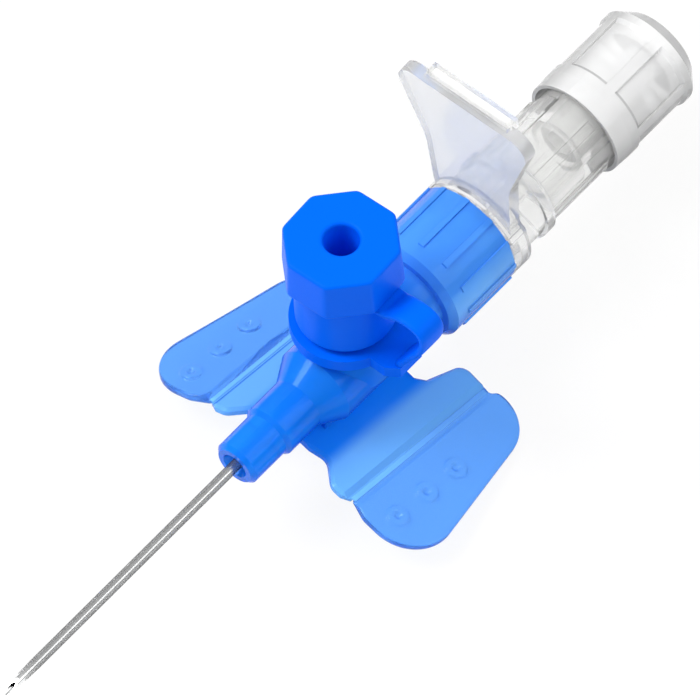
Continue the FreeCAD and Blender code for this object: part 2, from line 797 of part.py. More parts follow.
# Port cap: octagonal head, skirt round the tower and stopper in its mouth
cap = new_body("cap")
octagon = [("CapRadius * cos(CapTurn + %d)" % angle, "CapRadius * sin(CapTurn + %d)" % angle)
           for angle in range(0, 360, 45)]
pad(cap, outline(cap, XY, octagon, CAP_BOTTOM), "CapHeight", taper="-CapDraft")
turned(cap, [
    ("0", CAP_SKIRT_BOTTOM),
    ("SkirtRadius", CAP_SKIRT_BOTTOM),
    ("SkirtRadius", CAP_BOTTOM + " + CapEdge"),
    ("0", CAP_BOTTOM + " + CapEdge")], axis="V_Axis")
turned(cap, [
    ("0", CAP_SKIRT_BOTTOM + " - %s" % ROOM),
    ("SkirtBore", CAP_SKIRT_BOTTOM + " - %s" % ROOM),
    ("SkirtBore", CAP_CEILING),
    ("StopperRadius", CAP_CEILING),
    ("StopperRadius", STOPPER_BOTTOM),
    ("0", STOPPER_BOTTOM)], axis="V_Axis", cut=True)
turned(cap, [
    ("0", STOPPER_HOLE_BOTTOM),
    ("StopperHole", STOPPER_HOLE_BOTTOM),
    ("StopperHole", CAP_TOP + " + %s" % ROOM),
    ("0", CAP_TOP + " + %s" % ROOM)], axis="V_Axis", cut=True)
rounded(cap, "StopperHoleRound", circle_at(CAP_TOP, "StopperHole"))


def head_edge(edge):
    """The eight upper edges of the octagonal head."""
    ends = [vertex.Point for vertex in edge.Vertexes]
    top = number(CAP_TOP)
    return (len(ends) == 2 and isinstance(edge.Curve, Part.Line)
            and all(abs(point.z - top) < 1e-3 for point in ends))


rounded(cap, "CapEdge", head_edge, kind="PartDesign::Chamfer")
place(cap, ("PortPlace", "0", "0"))
sub_part("port_cap", cap)


# Needle hub: male taper, skirt, disc and chamber turned about the needle
def male_radius(where):
    """Radius of the male taper, a running fit inside the female one."""
    return "TaperMouth - TaperSlope * (HubLength - %s) - MaleFit" % where


core = new_body("core")
turned(core, [
    (MALE_TIP, "0"),
    (MALE_TIP, male_radius(MALE_TIP)),
    (SKIRT_FRONT, male_radius("HubLength")),
    (SKIRT_FRONT + " + SkirtHollow", male_radius("HubLength")),
    (SKIRT_FRONT + " + SkirtHollow", "BarrelRadius - SkirtWall"),
    (SKIRT_FRONT, "BarrelRadius - SkirtWall"),
    (SKIRT_FRONT, "BarrelRadius"),
    (SKIRT_REAR, "BarrelRadius"),
    (SKIRT_REAR, "NeckRing"),
    (DISC_START, "NeckRing"),
    (DISC_START, "DiscRadius"),
    (DISC_END, "DiscRadius"),
    (DISC_END, "0")])

chamber = new_body("chamber")
turned(chamber, [
    (DISC_END, "0"),
    (DISC_END, "ChamberRadius"),
    (CHAMBER_END, "ChamberRadius"),
    (CHAMBER_END, "0")])
bar = outline(chamber, XZ, [
    (DISC_END, "ChamberRadius / 2"),
    (DISC_END, "ChamberRibRadius"),
    (CHAMBER_RIB_END + " - ChamberRibRadius + ChamberRadius", "ChamberRibRadius"),
    (CHAMBER_RIB_END, "ChamberRadius"),
    (CHAMBER_RIB_END, "ChamberRadius / 2")])
ring_of(chamber, pad(chamber, bar, "ChamberRibWidth", middle=True), "ChamberRibCount")
place(chamber, ("0", "0", "0"), about("X", "ChamberRibTurn"))

LUG_START = CHAMBER_END + " - LugSetback - LugLength"


def chamber_lug(side):
    """Ear of the locking fitting on the chamber's rear rim."""
    lug = doc.addObject("Part::Box", "lug_%s" % ("left" if side > 0 else "right"))
    bind(lug, Length="LugLength", Width="LugRadius - ChamberRadius / 2", Height="2 * LugHalfWidth")
    start = "ChamberRadius / 2" if side > 0 else "-LugRadius"
    place(lug, (LUG_START, start, "-LugHalfWidth"))
    return lug


lug_envelope = doc.addObject("Part::Cylinder", "lug_envelope")
bind(lug_envelope, Radius="LugRadius", Height="LugLength")
place(lug_envelope, (LUG_START, "0", "0"), about("Y", "90"))
lug_pair = joined("lug_pair", [chamber_lug(side) for side in (1, -1)])
lugs = doc.addObject("Part::Common", "lugs")
lugs.Base = lug_pair
lugs.Tool = lug_envelope

# Thumb plate with a ledge behind its top edge and a slot along that edge
plate = new_body("plate")
plate_corners = [
    ("PlateFootHalf", "0"),
    ("PlateWaistHalf", "PlateWaist"),
    ("PlateTopHalf", "PlateTop"),
    ("-PlateTopHalf", "PlateTop"),
    ("-PlateWaistHalf", "PlateWaist"),
    ("-PlateFootHalf", "0")]
pad(plate, outline(plate, YZ, plate_corners), "PlateThickness")
for corner in (2, 3):
    rounded(plate, "PlateCorner", lengthwise_at(*plate_corners[corner]))
for corner in (1, 4):
    rounded(plate, "PlateSideRound", lengthwise_at(*plate_corners[corner]))
pad(plate, outline(plate, YZ, [
    ("-LedgeHalf", "PlateTop - LedgeTall"),
    ("LedgeHalf", "PlateTop - LedgeTall"),
    ("LedgeHalf", "PlateTop"),
    ("-LedgeHalf", "PlateTop")], "PlateThickness / 2"), "PlateThickness / 2 + LedgeReach")
slot = outline(plate, YZ, [
    ("-SlotHalf", "PlateTop - SlotDepth"),
    ("SlotHalf", "PlateTop - SlotDepth"),
    ("SlotHalf", "PlateTop + %s" % ROOM),
    ("-SlotHalf", "PlateTop + %s" % ROOM)], "SlotSetback")
pocket(plate, slot, "SlotWidth", back=True)
place(plate, ("HubLength + PlateSetback", "0", "0"), about("Y", "-PlateLean"))


def skirt_rib(swing):
    """Grip rib of the skirt that carries on a rib of the barrel."""
    rib_bar = doc.addObject("Part::Box", "skirt_rib")
    bind(rib_bar, Length="SkirtLength", Width="GripRibWidth",
         Height="SkirtWall / 2 + GripRibHeight")
    lift = "BarrelRadius - SkirtWall / 2"
    place(rib_bar, (SKIRT_FRONT,
                    "-(%s) * sin(%s) - GripRibWidth / 2 * cos(%s)" % (lift, swing, swing),
                    "(%s) * cos(%s) - GripRibWidth / 2 * sin(%s)" % (lift, swing, swing)),
          about("X", swing))
    return rib_bar


skirt_ribs = [skirt_rib(swing) for swing in ("SkirtRibSwing", "-SkirtRibSwing")]

needle_bores = new_body("needle_bores")
SEAT = "NeedleRadius + GlueFit"
turned(needle_bores, [
    (MALE_TIP + " - %s" % ROOM, "0"),
    (MALE_TIP + " - %s" % ROOM, SEAT),
    (NEEDLE_REAR, SEAT),
    (NEEDLE_REAR, "FlashHole"),
    (CAVITY_START + " - FlashHole", "FlashHole"),
    (CAVITY_START, "CavityRadius"),
    (CAVITY_END, "CavityRadius"),
    (CAVITY_END, "TaperMouth - TaperSlope * (ChamberLength - CavityWall - CavityLength)"),
    (CHAMBER_END, "TaperMouth"),
    (CHAMBER_END + " + %s" % ROOM, "TaperMouth"),
    (CHAMBER_END + " + %s" % ROOM, "0")])
needle_hub_solid = joined("needle_hub", [core, chamber, lugs, plate] + skirt_ribs)
sub_part("needle_hub", hollowed("needle_hub", needle_hub_solid, needle_bores))

# Safety clip: a disc on the needle with two sprung arms held apart by it
clip = new_body("clip")
turned(clip, [
    (CLIP_PLACE, "ClipHole"),
    (CLIP_PLACE, "ClipDiscRadius"),
    (CLIP_PLACE + " + ClipStrip", "ClipDiscRadius"),
    (CLIP_PLACE + " + ClipStrip", "ClipHole")])
for sign, gap in (("", "ClipUpperGap"), ("-", "ClipLowerGap")):
    tip = "(PortPlace + ValveLength / 2 + %s)" % gap
    inside = "%s(ClipSpread - ClipStrip)" % sign
    outside = "%s(ClipSpread)" % sign
    arm = outline(clip, XZ, [
        (CLIP_PLACE + " + ClipStrip / 2", inside),
        (CLIP_PLACE + " + ClipStrip / 2", outside),
        (tip + " + ClipBend", outside),
        (tip, "%s(ClipRest + ClipStrip)" % sign),
        (tip, "%s(ClipRest)" % sign),
        (tip + " + ClipStrip", "%s(ClipRest)" % sign),
        (tip + " + ClipBend + ClipStrip / 2", inside)])
    pad(clip, arm, "ClipWidth", middle=True)
sub_part("safety_clip", clip)

# Flashback plug: fluted grip, inner male taper and a recess for the filter
plug = new_body("plug")


def plug_taper(where):
    """Radius of the plug's male taper in the chamber's female one."""
    return "TaperMouth - TaperSlope * (%s - %s) - PlugFit" % (CHAMBER_END, where)


turned(plug, [
    (PLUG_TIP, "PlugTipHole"),
    (PLUG_TIP, plug_taper(PLUG_TIP)),
    (PLUG_BORE_END, plug_taper(PLUG_BORE_END)),
    (PLUG_BORE_END, "PlugBore"),
    (PLUG_FRONT, "PlugBore"),
    (PLUG_FRONT, "PlugFrontRadius"),
    (PLUG_FRONT + " + PlugCollarLength", "PlugCollarRadius"),
    (PLUG_REAR + " - PlugBevelLength", "PlugRadius"),
    (PLUG_REAR, "PlugRadius - PlugBevelDepth"),
    (PLUG_REAR, "FilterRecess"),
    (FILTER_SEAT, "FilterRecess"),
    (FILTER_SEAT, "PlugTipHole")])
flute = turned(plug, [
    (FLUTE_START, "PlugRadius + FluteDepth"),
    (FLUTE_START + " + FluteEase", "PlugRadius - FluteDepth"),
    (FLUTE_END + " - FluteEase", "PlugRadius - FluteDepth"),
    (FLUTE_END, "PlugRadius + FluteDepth")], sweep="FluteSweep", cut=True)
ring_of(plug, flute, "FluteCount")
place(plug, ("0", "0", "0"), about("X", "PlugTurn"))
sub_part("flashback_plug", plug)

# Filter disc that lets air out of the chamber and keeps blood in
membrane = new_body("membrane")
turned(membrane, [
    (FILTER_SEAT, "0"),
    (FILTER_SEAT, "FilterRecess - FilterFit"),
    (FILTER_SEAT + " + FilterThickness", "FilterRecess - FilterFit"),
    (FILTER_SEAT + " + FilterThickness", "0")])
sub_part("vent_filter", membrane)

doc.recompute()
for item in doc.Objects:
    if "Invalid" in item.State or "Error" in item.State:
        raise RuntimeError("%s did not build: %s" % (item.Label, item.State))
for item in parts:
    if item.Shape.isNull() or not item.Shape.isValid() or not item.Shape.Solids:
        raise RuntimeError(item.Label + " has no sound shape")

os.makedirs("parts", exist_ok=True)
for item in parts:
    item.Shape.exportStep(os.path.join("parts", item.Label + ".step"))
    print("%-16s %8.2f mm3, %d solid" % (item.Label, item.Shape.Volume, len(item.Shape.Solids)))
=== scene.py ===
"""Studio scene of a winged, ported intravenous cannula."""

from __future__ import annotations

import logging
import math
from dataclasses import dataclass, field
from enum import Enum

import bmesh
import bpy
from mathutils import Matrix, Vector


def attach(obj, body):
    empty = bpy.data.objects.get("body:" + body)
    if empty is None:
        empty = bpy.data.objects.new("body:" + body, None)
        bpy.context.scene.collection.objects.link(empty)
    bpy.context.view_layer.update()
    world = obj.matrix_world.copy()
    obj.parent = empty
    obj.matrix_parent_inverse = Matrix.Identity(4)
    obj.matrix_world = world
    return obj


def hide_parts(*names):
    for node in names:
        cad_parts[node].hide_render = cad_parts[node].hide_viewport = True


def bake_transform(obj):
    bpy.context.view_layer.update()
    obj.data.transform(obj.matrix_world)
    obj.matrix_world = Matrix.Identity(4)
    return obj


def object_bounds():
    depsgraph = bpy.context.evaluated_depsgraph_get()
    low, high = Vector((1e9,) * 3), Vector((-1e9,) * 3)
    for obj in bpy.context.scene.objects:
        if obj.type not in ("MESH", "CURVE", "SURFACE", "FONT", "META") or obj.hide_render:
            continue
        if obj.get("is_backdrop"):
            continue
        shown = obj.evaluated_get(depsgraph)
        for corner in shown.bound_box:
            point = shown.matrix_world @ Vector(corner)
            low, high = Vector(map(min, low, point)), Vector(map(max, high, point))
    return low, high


LOG = logging.getLogger("iv_cannula")
MM = 0.001
FLOAT = "NodeSocketFloat"
COLOUR = "NodeSocketColor"
VECTOR = "NodeSocketVector"

Colour = tuple[float, float, float]
Point = tuple[float, float, float]
Flat = tuple[float, float]


class Body(Enum):
    """Rigid bodies of the mechanism that the scene's own pieces ride on."""

    HUB = "hub"
    LEFT_WING = "left_wing"
    RIGHT_WING = "right_wing"
    COLLAR = "collar"
    CAP = "cap"


class Mixing(Enum):
    """Ways of putting one colour on another."""

    OVER = "MIX"
    TIMES = "MULTIPLY"


def rgba(colour: Colour) -> tuple[float, float, float, float]:
    """Give a colour its alpha.

    Args:
        colour: The colour.

    Returns:
        The same colour, opaque.
    """
    return (*colour, 1.0)


def placed(tree: bpy.types.NodeTree, kind: str,
           inputs: dict[str | int, bpy.types.NodeSocket | float | tuple],
           **options: object) -> bpy.types.Node:
    """Place a node, set its options and feed its inputs.

    Args:
        tree: Node tree that it goes into.
        kind: Type of the node.
        inputs: A link's source or a plain value for each input, by name or number.
        options: Settings of the node itself.

    Returns:
        The node.
    """
    node = tree.nodes.new(kind)
    for name, option in options.items():
        setattr(node, name, option)
    for label, value in inputs.items():
        if isinstance(value, bpy.types.NodeSocket):
            tree.links.new(value, node.inputs[label])
        else:
            node.inputs[label].default_value = value
    return node


def mixed(tree: bpy.types.NodeTree, below: bpy.types.NodeSocket,
          above: bpy.types.NodeSocket | tuple, share: bpy.types.NodeSocket | float,
          mixing: Mixing) -> bpy.types.NodeSocket:
    """Put a colour on another.

    Args:
        tree: Node tree of the colours.
        below: The colour below.
        above: The colour on top.
        share: How much of it shows.
        mixing: Way of mixing.

    Returns:
        The mixed colour.
    """
    return placed(tree, "ShaderNodeMix", {"Factor": share, "A": below, "B": above},
                  data_type="RGBA", blend_type=mixing.value).outputs["Result"]


def eased(tree: bpy.types.NodeTree, value: bpy.types.NodeSocket,
          start: bpy.types.NodeSocket | float, end: bpy.types.NodeSocket | float,
          low: float = 0.0, high: bpy.types.NodeSocket | float = 1.0) -> bpy.types.NodeSocket:
    """Turn a number into a soft rise from one level to another.

    Args:
        tree: Node tree of the number.
        value: The number.
        start: Where the rise starts.
        end: Where it ends.
        low: Level before the rise.
        high: Level after it.

    Returns:
        The level.
    """
    return placed(tree, "ShaderNodeMapRange",
                  {"Value": value, "From Min": start, "From Max": end, "To Min": low,
                   "To Max": high}, interpolation_type="SMOOTHSTEP").outputs["Result"]


def open_group(name: str, inputs: dict[str, tuple[str, float | tuple]], outputs: dict[str, str]
               ) -> tuple[bpy.types.NodeTree, bpy.types.bpy_prop_collection]:
    """Start a shader node group.

    Args:
        name: Name of the group.
        inputs: Socket type and default value of each input.
        outputs: Socket type of each output.

    Returns:
        The group and the sockets that its inputs come in by.
    """
    group = bpy.data.node_groups.new(name, "ShaderNodeTree")
    for label, (kind, value) in inputs.items():
        socket = group.interface.new_socket(label, in_out="INPUT", socket_type=kind)
        socket.default_value = value
    for label, kind in outputs.items():
        group.interface.new_socket(label, in_out="OUTPUT", socket_type=kind)
    return group, group.nodes.new("NodeGroupInput").outputs


def moulding_group() -> bpy.types.NodeTree:
    """Build the moulded-plastic effect: slow flow waves, a fine polish grain and haze.

    Returns:
        A group that puts out a tinted colour, a roughness and a normal.
    """
    group, given = open_group(
        "moulded surface",
        {"Colour": (COLOUR, (0.8, 0.8, 0.8, 1.0)), "Roughness": (FLOAT, 0.2),
         "Wave Scale": (FLOAT, 260.0), "Wave Depth": (FLOAT, 0.1), "Wave Rise": (FLOAT, 0.0002),
         "Wave Tint": (COLOUR, (0.9, 0.93, 0.97, 1.0)), "Grain Scale": (FLOAT, 4500.0),
         "Haze": (FLOAT, 0.05)},
        {"Colour": COLOUR, "Roughness": FLOAT, "Normal": VECTOR})
    place = placed(group, "ShaderNodeTexCoord", {}).outputs["Object"]
    wave = placed(group, "ShaderNodeTexNoise", {
        "Vector": place, "Scale": given["Wave Scale"], "Detail": 2.0}).outputs["Fac"]
    grain = placed(group, "ShaderNodeTexNoise", {
        "Vector": place, "Scale": given["Grain Scale"], "Detail": 1.0}).outputs["Fac"]
    normal = placed(group, "ShaderNodeBump", {
        "Height": wave, "Strength": given["Wave Depth"], "Distance": given["Wave Rise"]})
    roughness = placed(group, "ShaderNodeMath", {
        0: grain, 1: given["Haze"], 2: given["Roughness"]}, operation="MULTIPLY_ADD")
    share = placed(group, "ShaderNodeMath", {0: wave, 1: given["Haze"]}, operation="MULTIPLY")
    placed(group, "NodeGroupOutput", {
        "Colour": mixed(group, given["Colour"], given["Wave Tint"], share.outputs["Value"],
                        Mixing.TIMES),
        "Roughness": roughness.outputs["Value"], "Normal": normal.outputs["Normal"]})
    return group


def drawn_metal_group() -> bpy.types.NodeTree:
    """Build the drawn-metal effect: fine streaks along the needle's axis.

    Returns:
        A group that puts out a colour, a roughness and a normal.
    """
    group, given = open_group(
        "drawn metal",
        {"Colour": (COLOUR, (0.8, 0.8, 0.8, 1.0)), "Roughness": (FLOAT, 0.2),
         "Streak Stretch": (VECTOR, (0.02, 1.0, 1.0)), "Streak Scale": (FLOAT, 5000.0),
         "Streak Depth": (FLOAT, 0.05), "Streak Rise": (FLOAT, 0.00002),
         "Streak Roughness": (FLOAT, 0.06), "Streak Tone": (FLOAT, 0.35)},
        {"Colour": COLOUR, "Roughness": FLOAT, "Normal": VECTOR})
    place = placed(group, "ShaderNodeTexCoord", {}).outputs["Object"]
    stretched = placed(group, "ShaderNodeVectorMath", {0: place, 1: given["Streak Stretch"]},
                       operation="MULTIPLY")
    streak = placed(group, "ShaderNodeTexNoise", {
        "Vector": stretched.outputs["Vector"], "Scale": given["Streak Scale"],
        "Detail": 3.0}).outputs["Fac"]
    normal = placed(group, "ShaderNodeBump", {
        "Height": streak, "Strength": given["Streak Depth"], "Distance": given["Streak Rise"]})
    roughness = placed(group, "ShaderNodeMath", {
        0: streak, 1: given["Streak Roughness"], 2: given["Roughness"]},
        operation="MULTIPLY_ADD")
    placed(group, "NodeGroupOutput", {
        "Colour": mixed(group, given["Colour"], streak, given["Streak Tone"], Mixing.TIMES),
        "Roughness": roughness.outputs["Value"], "Normal": normal.outputs["Normal"]})
    return group


def span_group() -> bpy.types.NodeTree:
    """Build the mask that tells thin outer and rear parts from the thick middle.

    Returns:
        A group that puts out 0 near the middle plane, a share in the rear and 1 at the sides.
    """
    group, given = open_group(
        "thin parts",
        {"Near": (FLOAT, 0.0033), "Far": (FLOAT, 0.0047), "Rear Near": (FLOAT, 0.0185),
         "Rear Far": (FLOAT, 0.0215), "Rear Share": (FLOAT, 0.45)},
        {"Mask": FLOAT})
    place = placed(group, "ShaderNodeTexCoord", {}).outputs["Object"]
    axes = placed(group, "ShaderNodeSeparateXYZ", {"Vector": place}).outputs
    span = placed(group, "ShaderNodeMath", {0: axes["Y"]}, operation="ABSOLUTE")
    side = eased(group, span.outputs["Value"], given["Near"], given["Far"])
    rear = eased(group, axes["X"], given["Rear Near"], given["Rear Far"],
                 high=given["Rear Share"])
    most = placed(group, "ShaderNodeMath", {0: side, 1: rear}, operation="MAXIMUM")
    placed(group, "NodeGroupOutput", {"Mask": most.outputs["Value"]})
    return group


def new_material(name: str) -> tuple[bpy.types.Material, bpy.types.NodeTree]:
    """Make an empty node material.

    Args:
        name: Name of the material.

    Returns:
        The material and its node tree.
    """
    material = bpy.data.materials.new(name)
    material.use_nodes = True
    material.node_tree.nodes.clear()
    return material, material.node_tree


@dataclass(frozen=True)
class PaintedEdgeShade:
    """Painted shade: a deeper tint of a wall where it is seen edge-on, which darkens its outlines
    and sides.
    """

    colour: Colour
    start: float
    end: float
    blend: float = 0.5

    def tint(self, tree: bpy.types.NodeTree, source: bpy.types.NodeSocket) -> bpy.types.NodeSocket:
        """Tint a colour with painted shade where the wall is seen edge-on.

        Args:
            tree: Node tree of the material.
            source: The colour without the painted shade.

        Returns:
            The colour with the painted shade.
        """
        # Painted shade: the colour darkens as the surface turns edge-on.
        facing = placed(tree, "ShaderNodeLayerWeight", {"Blend": self.blend}).outputs["Facing"]
        return mixed(tree, source, rgba(self.colour), eased(tree, facing, self.start, self.end),
                     Mixing.TIMES)


@dataclass(frozen=True)
class ClearPlastic:
    """See-through moulded plastic, tinted at its surfaces or in its depth, with optional painted
    shade where a wall is seen edge-on.
    """

    name: str
    colour: Colour
    roughness: float
    transmission: float
    ior: float = 1.3
    alpha: float = 1.0
    gloss: float = 0.5
    gloss_tint: Colour = (1.0, 1.0, 1.0)
    painted_edge_shade: PaintedEdgeShade | None = None
    thin_colour: Colour | None = None
    depth_colour: Colour | None = None
    depth_density: float = 0.0
    wave_depth: float = 0.08
    haze: float = 0.06

    def material(self, group: bpy.types.NodeTree,
                 span: bpy.types.NodeTree | None = None) -> bpy.types.Material:
        """Build the material.

        Args:
            group: The moulded-surface group.
            span: The group that tells the thin parts, for a finish that is lighter there.

        Returns:
            The finished material.
        """
        material, tree = new_material(self.name)
        skin = placed(tree, "ShaderNodeGroup", {
            "Colour": rgba(self.colour), "Roughness": self.roughness,
            "Wave Depth": self.wave_depth, "Haze": self.haze}, node_tree=group).outputs
        tint = skin["Colour"]
        if self.thin_colour and span:
            thin = placed(tree, "ShaderNodeGroup", {}, node_tree=span).outputs["Mask"]
            tint = mixed(tree, tint, rgba(self.thin_colour), thin, Mixing.OVER)
        # Painted shade: darker colour where the wall is seen edge-on.
        if self.painted_edge_shade:
            tint = self.painted_edge_shade.tint(tree, tint)
        shader = placed(tree, "ShaderNodeBsdfPrincipled", {
            "Base Color": tint, "Roughness": skin["Roughness"], "Normal": skin["Normal"],
            "IOR": self.ior, "Alpha": self.alpha, "Transmission Weight": self.transmission,
            "Specular IOR Level": self.gloss, "Specular Tint": rgba(self.gloss_tint)})
        ends = {"Surface": shader.outputs["BSDF"]}
        if self.depth_colour:
            ends["Volume"] = placed(tree, "ShaderNodeVolumeAbsorption", {
                "Color": rgba(self.depth_colour),
                "Density": self.depth_density}).outputs["Volume"]
        placed(tree, "ShaderNodeOutputMaterial", ends)
        return material


@dataclass(frozen=True)
class SolidPlastic:
    """Opaque moulded plastic, rubber or paper."""

    name: str
    colour: Colour
    roughness: float
    gloss: float = 0.5
    gloss_tint: Colour = (1.0, 1.0, 1.0)
    wave_depth: float = 0.12
    haze: float = 0.12

    def material(self, group: bpy.types.NodeTree) -> bpy.types.Material:
        """Build the material.

        Args:
            group: The moulded-surface group.

        Returns:
            The finished material.
        """
        material, tree = new_material(self.name)
        skin = placed(tree, "ShaderNodeGroup", {
            "Colour": rgba(self.colour), "Roughness": self.roughness,
            "Wave Depth": self.wave_depth, "Haze": self.haze}, node_tree=group).outputs
        shader = placed(tree, "ShaderNodeBsdfPrincipled", {
            "Base Color": skin["Colour"], "Roughness": skin["Roughness"],
            "Normal": skin["Normal"], "Specular IOR Level": self.gloss,
            "Specular Tint": rgba(self.gloss_tint)})
        placed(tree, "ShaderNodeOutputMaterial", {"Surface": shader.outputs["BSDF"]})
        return material


@dataclass(frozen=True)
class DrawnSteel:
    """Bright stainless steel with fine lengthwise streaks."""

    name: str
    colour: Colour
    roughness: float
    streak_depth: float = 0.002

    def material(self, group: bpy.types.NodeTree) -> bpy.types.Material:
        """Build the material.

        Args:
            group: The drawn-metal group.

        Returns:
            The finished material.
        """
        material, tree = new_material(self.name)
        skin = placed(tree, "ShaderNodeGroup", {
            "Colour": rgba(self.colour), "Roughness": self.roughness,
            "Streak Depth": self.streak_depth}, node_tree=group).outputs
        shader = placed(tree, "ShaderNodeBsdfPrincipled", {
            "Base Color": skin["Colour"], "Roughness": skin["Roughness"],
            "Normal": skin["Normal"], "Metallic": 1.0})
        placed(tree, "ShaderNodeOutputMaterial", {"Surface": shader.outputs["BSDF"]})
        return material


@dataclass
class Finishes:
    """All finishes of the object, made once."""

    blue: bpy.types.Material = field(init=False)
    wing: bpy.types.Material = field(init=False)
    web: bpy.types.Material = field(init=False)
    cap: bpy.types.Material = field(init=False)
    clear: bpy.types.Material = field(init=False)
    milky: bpy.types.Material = field(init=False)
    sheath: bpy.types.Material = field(init=False)
    silicone: bpy.types.Material = field(init=False)
    steel: bpy.types.Material = field(init=False)
    spring: bpy.types.Material = field(init=False)
    paper: bpy.types.Material = field(init=False)

    def __post_init__(self) -> None:
        """Build the node groups and every material from them."""
        moulded = moulding_group()
        drawn = drawn_metal_group()
        span = span_group()
        # Painted shade: the blue plastics darken where a wall is seen edge-on.
        blue_edge_shade = PaintedEdgeShade((0.2, 0.45, 0.82), start=0.45, end=0.85)
        pale_gloss = (0.55, 0.8, 1.0)
        self.blue = ClearPlastic(
            "clear blue plastic", (0.008, 0.25, 0.98), roughness=0.12, transmission=0.4,
            gloss_tint=(0.4, 0.7, 1.0), painted_edge_shade=blue_edge_shade,
            thin_colour=(0.17, 0.5, 1.0)).material(moulded, span)
        self.wing = ClearPlastic(
            "clear blue wing plastic", (0.14, 0.42, 1.0), roughness=0.12, transmission=0.8,
            gloss_tint=pale_gloss, painted_edge_shade=blue_edge_shade).material(moulded)
        self.web = ClearPlastic(
            "thin blue web", (0.15, 0.44, 1.0), roughness=0.3, transmission=0.0,
            gloss_tint=pale_gloss, painted_edge_shade=blue_edge_shade).material(moulded)
        self.cap = SolidPlastic(
            "blue cap plastic", (0.0, 0.118, 0.83), roughness=0.38, gloss=0.08,
            gloss_tint=(0.2, 0.55, 1.0)).material(moulded)
        # The water-clear plastic gets painted shade: grey outlines where a wall is seen edge-on.
        self.clear = ClearPlastic(
            "water-clear plastic", (0.93, 0.93, 0.92), roughness=0.08, transmission=0.76,
            ior=1.22, gloss_tint=(1.0, 0.98, 0.93), painted_edge_shade=PaintedEdgeShade((0.22, 0.22, 0.22), 0.55, 1.0),
            depth_colour=(0.6, 0.6, 0.6), depth_density=20.0).material(moulded)
        # The milky plastic gets painted shade: its sides, seen at a slant, come out darker.
        self.milky = ClearPlastic(
            "milky clear plastic", (0.88, 0.88, 0.88), roughness=0.16, transmission=0.35,
            painted_edge_shade=PaintedEdgeShade((0.5, 0.5, 0.5), 0.15, 0.8)).material(moulded)
        self.sheath = ClearPlastic(
            "catheter plastic", (0.93, 0.93, 0.93), roughness=0.02, transmission=0.85,
            ior=1.12, alpha=0.3, gloss=0.1, depth_colour=(0.3, 0.3, 0.3),
            depth_density=4500.0, wave_depth=0.02).material(moulded)
        self.silicone = SolidPlastic(
            "milky silicone", (0.7, 0.72, 0.74), roughness=0.5).material(moulded)
        self.steel = DrawnSteel(
            "drawn needle steel", (0.88, 0.89, 0.89), roughness=0.1).material(drawn)
        self.spring = DrawnSteel(
            "rolled spring strip", (0.6, 0.61, 0.62), roughness=0.2).material(drawn)
        self.paper = SolidPlastic(
            "porous filter", (0.86, 0.86, 0.85), roughness=0.9,
            wave_depth=0.4).material(moulded)


def new_piece(name: str, points: list[Vector], faces: list[tuple[int, ...]],
              material: bpy.types.Material, body: Body | None) -> bpy.types.Object:
    """Make a smooth mesh piece.

    Args:
        name: Name of the piece.
        points: Its vertices, in metres.
        faces: Its faces.
        material: Its finish.
        body: Body it rides on, or None for a piece that rides on no body.

    Returns:
        The new object.
    """
    mesh = bpy.data.meshes.new(name)
    mesh.from_pydata([tuple(point) for point in points], [], faces)
    mesh.validate()
    form = bmesh.new()
    form.from_mesh(mesh)
    bmesh.ops.recalc_face_normals(form, faces=form.faces)
    form.to_mesh(mesh)
    form.free()
    mesh.shade_smooth()
    mesh.materials.append(material)
    item = bpy.data.objects.new(name, mesh)
    bpy.context.scene.collection.objects.link(item)
    if body is not None:
        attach(item, body.value)
    LOG.info("%s: %d faces, %s", name, len(faces), material.name)
    return item


def lofted(rings: list[list[Vector]]) -> tuple[list[Vector], list[tuple[int, ...]]]:
    """Join closed rings of equal count in a row, and close both ends with a fan.

    Args:
        rings: The rings; the first and the last are closed at their own middles.

    Returns:
        Vertices and faces of a closed skin.
    """
    points = [point for ring in rings for point in ring]
    faces: list[tuple[int, ...]] = []
    count = len(rings[0])
    for level in range(len(rings) - 1):
        low, high = level * count, (level + 1) * count
        for step in range(count):
            after = (step + 1) % count
            faces.append((low + step, low + after, high + after, high + step))
    for level in (0, len(rings) - 1):
        ring = rings[level]
        middle = sum(ring, Vector()) / count
        points.append(middle)
        start = level * count
        faces += [(start + step, start + (step + 1) % count, len(points) - 1)
                  for step in range(count)]
    return points, faces


def dress(node: str, material: bpy.types.Material) -> bpy.types.Object:
    """Give a CAD node its material.

    Args:
        node: Name of the node.
        material: Its finish.

    Returns:
        The node's object.
    """
    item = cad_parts[node]
    item.data.materials.clear()
    item.data.materials.append(material)
    LOG.info("%s: %s", node, material.name)
    return item


@dataclass
class CatheterHubAssembly:
    """Blue hub with the catheter tube, its bush, the port valve and the safety clip."""

    finishes: Finishes

    def build(self) -> None:
        """Dress the hub's pieces."""
        dress("catheter_hub", self.finishes.blue)
        dress("catheter_tube", self.finishes.sheath)
        dress("tube_bush", self.finishes.steel)
        dress("port_valve", self.finishes.silicone)
        dress("safety_clip", self.finishes.spring)


@dataclass(frozen=True)
class WingPlane:
    """Sloping plane of one wing, from the port's axis below the hub, in millimetres."""

    side: int
    port: float = 13.6
    drop: float = 3.36
    pitch: float = 10.8
    droop: float = 15.0

    def point(self, along: float, span: float, height: float) -> Vector:
        """Carry a point of the plane into the object's frame.

        Args:
            along: Distance back from the port.
            span: Distance out from the middle.
            height: Height over the wing's upper face.

        Returns:
            The point in metres.
        """
        pitch, droop = math.radians(self.pitch), math.radians(self.droop)
        out = span * math.cos(droop) + height * math.sin(droop)
        rise = height * math.cos(droop) - span * math.sin(droop)
        return Vector((self.port + along * math.cos(pitch) + rise * math.sin(pitch),
                       self.side * out,
                       rise * math.cos(pitch) - along * math.sin(pitch) - self.drop)) * MM


